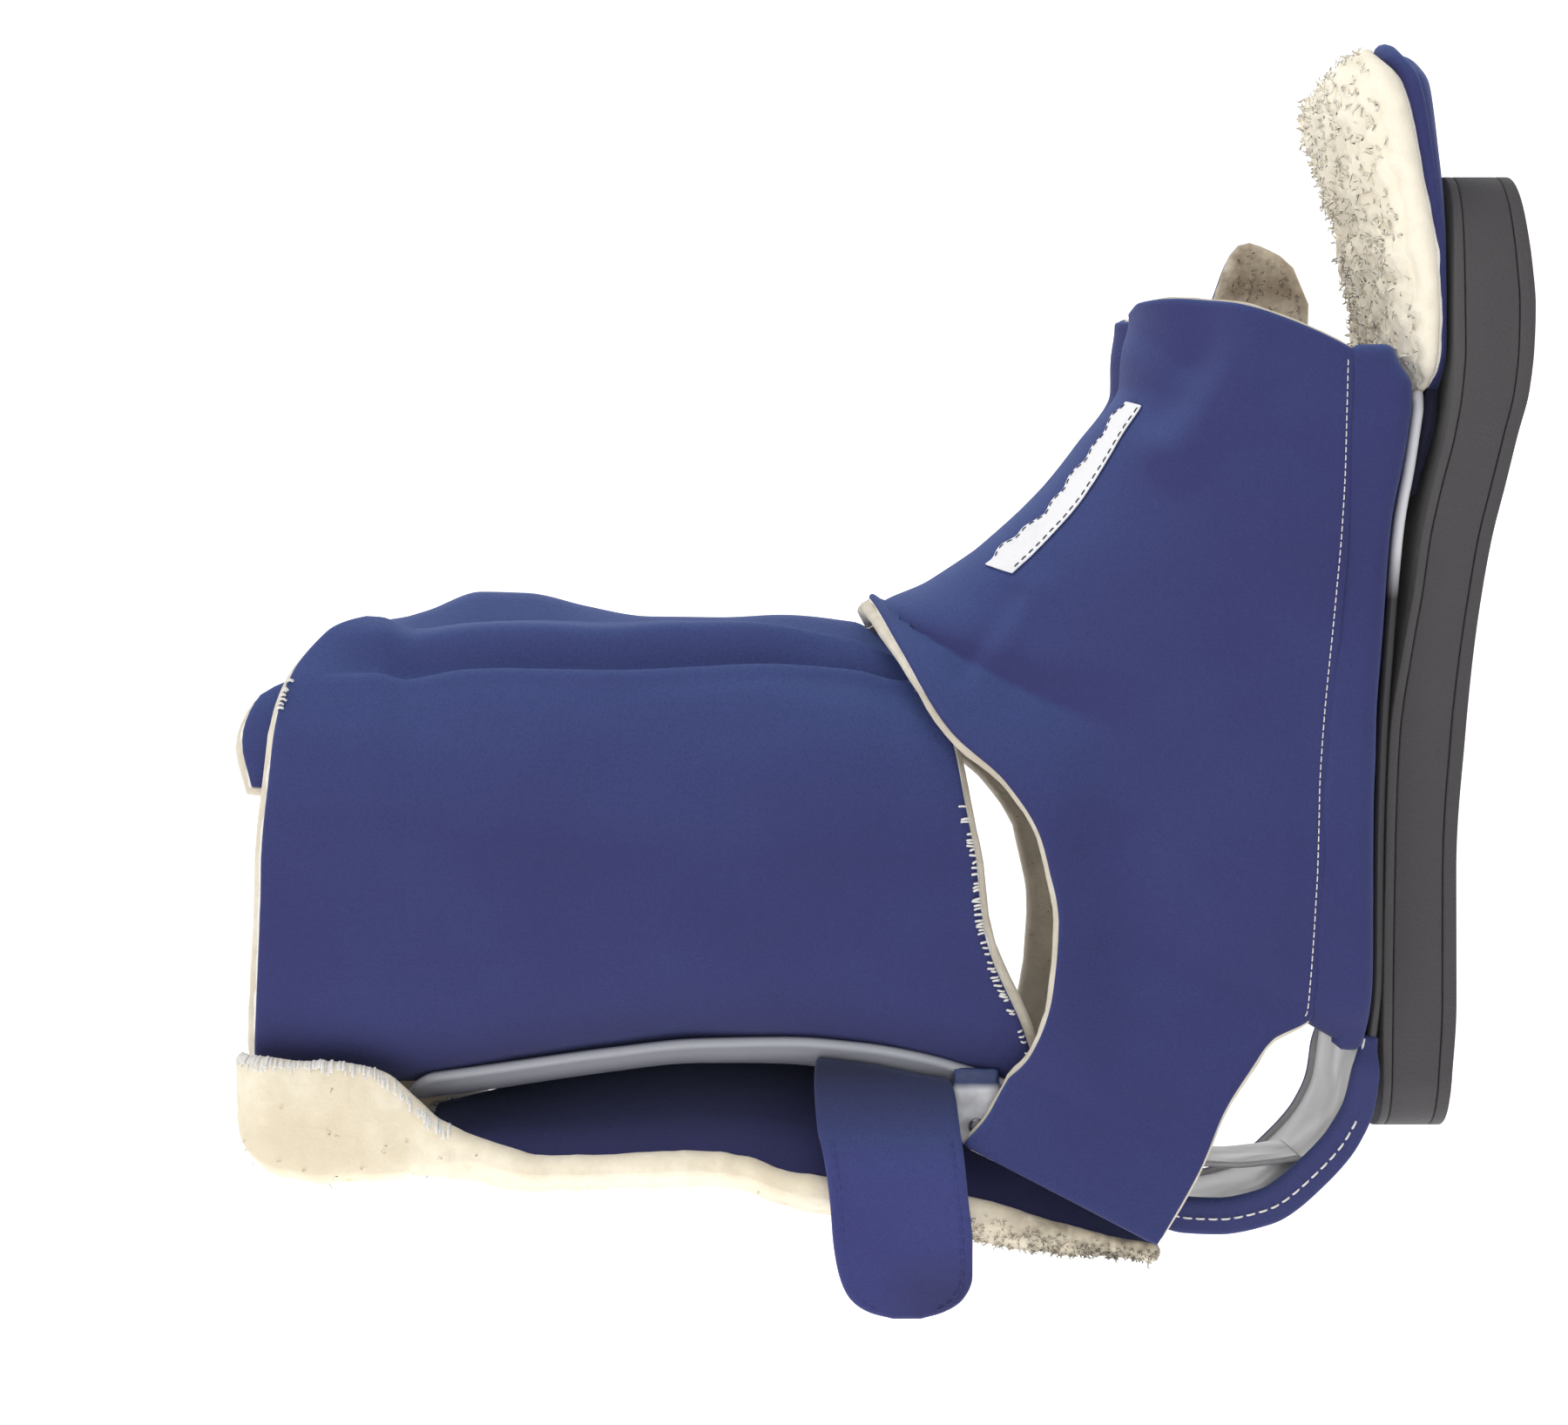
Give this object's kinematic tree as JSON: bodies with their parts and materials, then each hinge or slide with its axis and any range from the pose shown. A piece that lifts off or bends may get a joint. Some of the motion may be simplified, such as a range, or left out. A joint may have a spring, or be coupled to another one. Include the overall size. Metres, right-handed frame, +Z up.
{
  "type": "contracture boot",
  "caption": "Padded ankle and foot brace: navy fabric wraps with fleece lining on a white bowed heel frame, with a dark walking sole, a toe pad and a hanging strap.",
  "frame": {"origin": "middle of the ankle, where the wearer's leg meets the foot", "axes": "+X towards the walking sole, +Z up the foot to the toes, -Y the side with the hanging strap; the leg leaves along -X"},
  "size_m": [0.3766, 0.1236, 0.3674],
  "materials": {
    "navy_fabric": "soft woven navy",
    "navy_liner": "soft dark navy",
    "cream_fleece": "deep pile",
    "white_plastic": "satin white",
    "label_white": "plain woven",
    "rubber_top": "matt dark grey",
    "rubber": "matt dark grey",
    "rivet_steel": "dark"
  },
  "bodies": {
    "root": {"frame": "white_plastic", "leg_wrap": "navy_fabric", "leg_lining": "cream_fleece", "foot_wrap_near": "navy_fabric", "foot_wrap_far": "navy_fabric", "foot_lining_near": "cream_fleece", "foot_lining_far": "cream_fleece", "sole_cover": "navy_fabric", "heel_cover": "navy_liner", "heel_strip": "white_plastic", "calf_fold_liner": "navy_liner", "calf_fold_fleece": "cream_fleece", "toe_pad": "cream_fleece", "toe_cover": "navy_fabric", "toe_tongue": "navy_liner", "sole_top": "rubber_top", "sole_middle": "rubber", "sole_tread": "rubber", "strap": "navy_fabric", "clip": "white_plastic", "rivet": "rivet_steel", "label": "label_white"}
  },
  "joints": []
}
